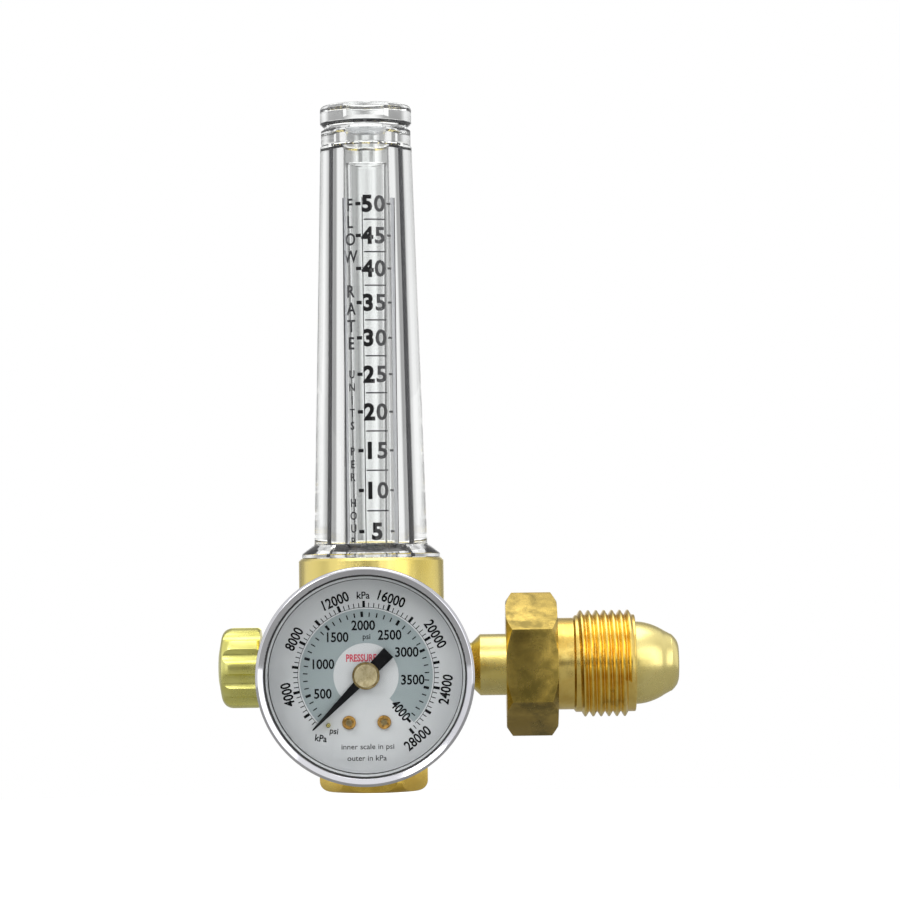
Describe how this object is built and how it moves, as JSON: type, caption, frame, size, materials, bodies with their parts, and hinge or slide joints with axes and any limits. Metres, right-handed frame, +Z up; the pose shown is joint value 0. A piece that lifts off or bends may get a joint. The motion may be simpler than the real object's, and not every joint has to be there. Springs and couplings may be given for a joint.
{
  "type": "gas regulator",
  "caption": "Brass flowmeter regulator for shielding gas: clear upright flow tube, round pressure gauge, flow knob, and inlet nut and nipple.",
  "frame": {"origin": "centre of the outlet's mouth, on the axis of the upright barrel", "axes": "+Z up the flow tube, +X towards the cylinder inlet, -Y towards the face of the gauge"},
  "size_m": [0.1058, 0.1039, 0.1582],
  "materials": {
    "brass_satin": "turned and lightly satin",
    "brass_polished": "bright turned",
    "brass_raw": "raw bar, dull and spotted",
    "bronze": "matt",
    "steel": "turned",
    "chrome_plate": "polished",
    "clear_plastic": "clear, polished",
    "rubber_black": "matt",
    "silicone_clear": "milky, satin",
    "plastic_black": "satin",
    "ball_black": "gloss",
    "dial_white": "satin paint",
    "pointer_black": "satin paint"
  },
  "bodies": {
    "regulator_body": {"barrel_body": "brass_satin", "outlet_bushing": "brass_satin", "inlet_nipple": "brass_polished", "inlet_filter": "bronze", "tube_cover": "clear_plastic", "tube_cap": "clear_plastic", "cap_o_ring": "silicone_clear", "cover_o_ring": "rubber_black", "flow_tube": "clear_plastic", "tube_seat": "brass_polished", "tube_seal": "rubber_black", "valve_bonnet": "brass_satin", "rear_bonnet": "brass_satin", "bonnet_screws": "steel", "diaphragm": "rubber_black", "main_spring": "steel", "spring_button": "steel", "adjusting_screw": "steel", "adjuster_plug": "plastic_black", "valve_nozzle": "brass_polished", "poppet_spring": "steel", "relief_body": "brass_polished", "relief_spring": "steel", "gauge_socket": "brass_satin", "gauge_case": "chrome_plate", "case_plug": "rubber_black", "bezel_ring": "chrome_plate", "gauge_lens": "clear_plastic", "lens_gasket": "rubber_black", "gauge_dial": "dial_white", "dial_screws": "brass_polished", "stop_pin": "brass_polished", "bourdon_tube": "bronze", "movement_frame": "brass_polished", "hairspring": "bronze"},
    "inlet_nut": {"inlet_nut": "brass_raw"},
    "stem_seal": {"stem_o_ring": "rubber_black"},
    "flow_knob": {"needle_stem": "steel", "flow_knob": "brass_polished", "knob_screw": "steel"},
    "float_ball": {"float_ball": "ball_black"},
    "pointer_shaft": {"pinion_shaft": "steel", "pointer": "pointer_black", "pointer_hub": "brass_polished"},
    "sector_gear": {"sector_gear": "brass_polished"},
    "tip_link": {"tip_link": "brass_polished"},
    "diaphragm_plate": {"diaphragm_plate": "steel"},
    "poppet": {"poppet": "plastic_black"},
    "relief_plunger": {"relief_plunger": "steel"}
  },
  "joints": [
    {"name": "nut_spin", "type": "hinge", "parent": "regulator_body", "child": "inlet_nut", "pos_m": [0.0368, 0, 0.0286], "axis": [1, 0, 0], "continuous": true},
    {"name": "knob_lift", "type": "slide", "parent": "regulator_body", "child": "stem_seal", "axis": [-1, 0, 0], "range_m": [0, 0.0015]},
    {"name": "knob_turn", "type": "hinge", "parent": "stem_seal", "child": "flow_knob", "pos_m": [-0.0305, 0, 0.0286], "axis": [-1, 0, 0], "range_deg": [0, 721]},
    {"name": "float_rise", "type": "slide", "parent": "regulator_body", "child": "float_ball", "axis": [0, 0, 1], "range_m": [0, 0.0908]},
    {"name": "pointer_turn", "type": "hinge", "parent": "regulator_body", "child": "pointer_shaft", "pos_m": [0, -0.047, 0.02785], "axis": [0, 1, 0], "range_deg": [0, 270], "stiffness_Nm_per_rad": 0.00002, "springref_deg": -22.92, "deforming": ["hairspring", "bourdon_tube"]},
    {"name": "sector_turn", "type": "hinge", "parent": "regulator_body", "child": "sector_gear", "pos_m": [0.00525, -0.0435, 0.01876], "axis": [0, 1, 0], "range_deg": [-45.5, 0]},
    {"name": "link_pivot", "type": "hinge", "parent": "sector_gear", "child": "tip_link", "pos_m": [0.00092, -0.0425, 0.01626], "axis": [0, 1, 0], "range_deg": [0, 45.5]},
    {"name": "diaphragm_stroke", "type": "slide", "parent": "regulator_body", "child": "diaphragm_plate", "axis": [0, 1, 0], "range_m": [0, 0.00078], "deforming": ["main_spring", "diaphragm"]},
    {"name": "poppet_slide", "type": "slide", "parent": "regulator_body", "child": "poppet", "axis": [0, 1, 0], "range_m": [0, 0.00078], "deforming": ["poppet_spring"]},
    {"name": "relief_lift", "type": "slide", "parent": "regulator_body", "child": "relief_plunger", "axis": [-0.7071, 0, -0.7071], "range_m": [0, 0.0008], "stiffness_N_per_m": 400, "springref_m": -0.002, "deforming": ["relief_spring"]}
  ],
  "couplings": [
    {"joint": "knob_turn", "follows": "knob_lift", "rad_per_m": 8377.6},
    {"joint": "sector_turn", "follows": "pointer_turn", "ratio": -0.16667},
    {"joint": "link_pivot", "follows": "pointer_turn", "ratio": 0.16667},
    {"joint": "poppet_slide", "follows": "diaphragm_stroke", "ratio": 1}
  ]
}
